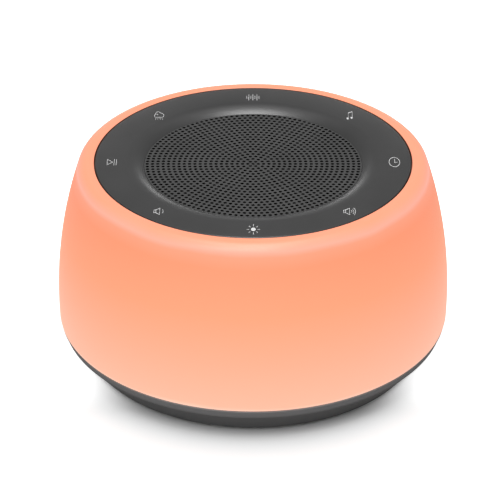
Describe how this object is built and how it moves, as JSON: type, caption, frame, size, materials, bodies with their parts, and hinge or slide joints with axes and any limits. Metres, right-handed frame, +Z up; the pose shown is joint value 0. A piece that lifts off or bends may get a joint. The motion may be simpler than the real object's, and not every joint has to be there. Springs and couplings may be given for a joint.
{
  "type": "white noise sound machine",
  "caption": "Drum-shaped bedside sound machine with a glowing shade, a dark base, a rear power inlet and a touch panel round a dished speaker grille.",
  "frame": {"origin": "centre of the ring that the rubber foot stands on, at floor height", "axes": "+Z up, -Y towards the front, +Y towards the power inlet at the rear"},
  "size_m": [0.1204, 0.1204, 0.0645],
  "materials": {
    "shade_diffuser": "satin translucent",
    "base_plastic": "satin",
    "panel_plastic": "satin",
    "grille_plastic": "satin",
    "core_plastic": "satin white",
    "foot_rubber": "matt",
    "screw_steel": "zinc plated",
    "socket_steel": "drawn",
    "board_laminate": "satin solder mask",
    "lamp_board_laminate": "white solder mask",
    "chip_epoxy": "matt",
    "connector_plastic": "satin",
    "insulator_plastic": "satin",
    "capacitor_can": "satin",
    "crystal_can": "satin",
    "lamp_package": "clear over phosphor",
    "basket_steel": "black lacquer",
    "plate_steel": "zinc plated",
    "magnet_ferrite": "ground",
    "cone_paper": "matt",
    "former_paper": "matt",
    "winding_copper": "enamelled copper wire",
    "surround_rubber": "satin",
    "gasket_foam": "matt foam",
    "spider_cloth": "resin-treated cloth",
    "scrim_cloth": "matt",
    "strip_phenolic": "matt",
    "lug_brass": "tinned",
    "lead_insulation": "satin",
    "lamp_lead_insulation": "satin",
    "ribbon_film": "satin"
  },
  "bodies": {
    "housing": {"shade": "shade_diffuser", "base_housing": "base_plastic", "control_panel": "panel_plastic", "speaker_grille": "grille_plastic", "inner_core": "core_plastic", "rubber_foot": "foot_rubber", "base_screws": "screw_steel", "panel_screws": "screw_steel", "board_screws": "screw_steel", "speaker_screws": "screw_steel", "power_socket": "socket_steel", "socket_tongue": "insulator_plastic", "main_board": "board_laminate", "touch_board": "board_laminate", "led_board": "lamp_board_laminate", "leds": "lamp_package", "sound_processor": "chip_epoxy", "amplifier_chip": "chip_epoxy", "sound_memory": "chip_epoxy", "touch_chip": "chip_epoxy", "clock_crystal": "crystal_can", "capacitors": "capacitor_can", "speaker_plug": "connector_plastic", "lamp_plug": "connector_plastic", "touch_plug": "connector_plastic", "touch_connector": "connector_plastic", "speaker_basket": "basket_steel", "top_plate": "plate_steel", "yoke": "plate_steel", "magnet": "magnet_ferrite", "surround": "surround_rubber", "speaker_gasket": "gasket_foam", "spider": "spider_cloth", "dust_scrim": "scrim_cloth", "terminal_strip": "strip_phenolic", "terminal_lugs": "lug_brass", "speaker_lead": "lead_insulation", "lamp_lead": "lamp_lead_insulation", "touch_ribbon": "ribbon_film"},
    "cone": {"speaker_cone": "cone_paper", "dust_cap": "cone_paper", "coil_former": "former_paper", "voice_coil": "winding_copper"}
  },
  "joints": [
    {"name": "cone_travel", "type": "slide", "parent": "housing", "child": "cone", "axis": [0, 0, 1], "range_m": [-0.001, 0.001], "stiffness_N_per_m": 1500, "deforming": ["surround", "spider"]}
  ]
}
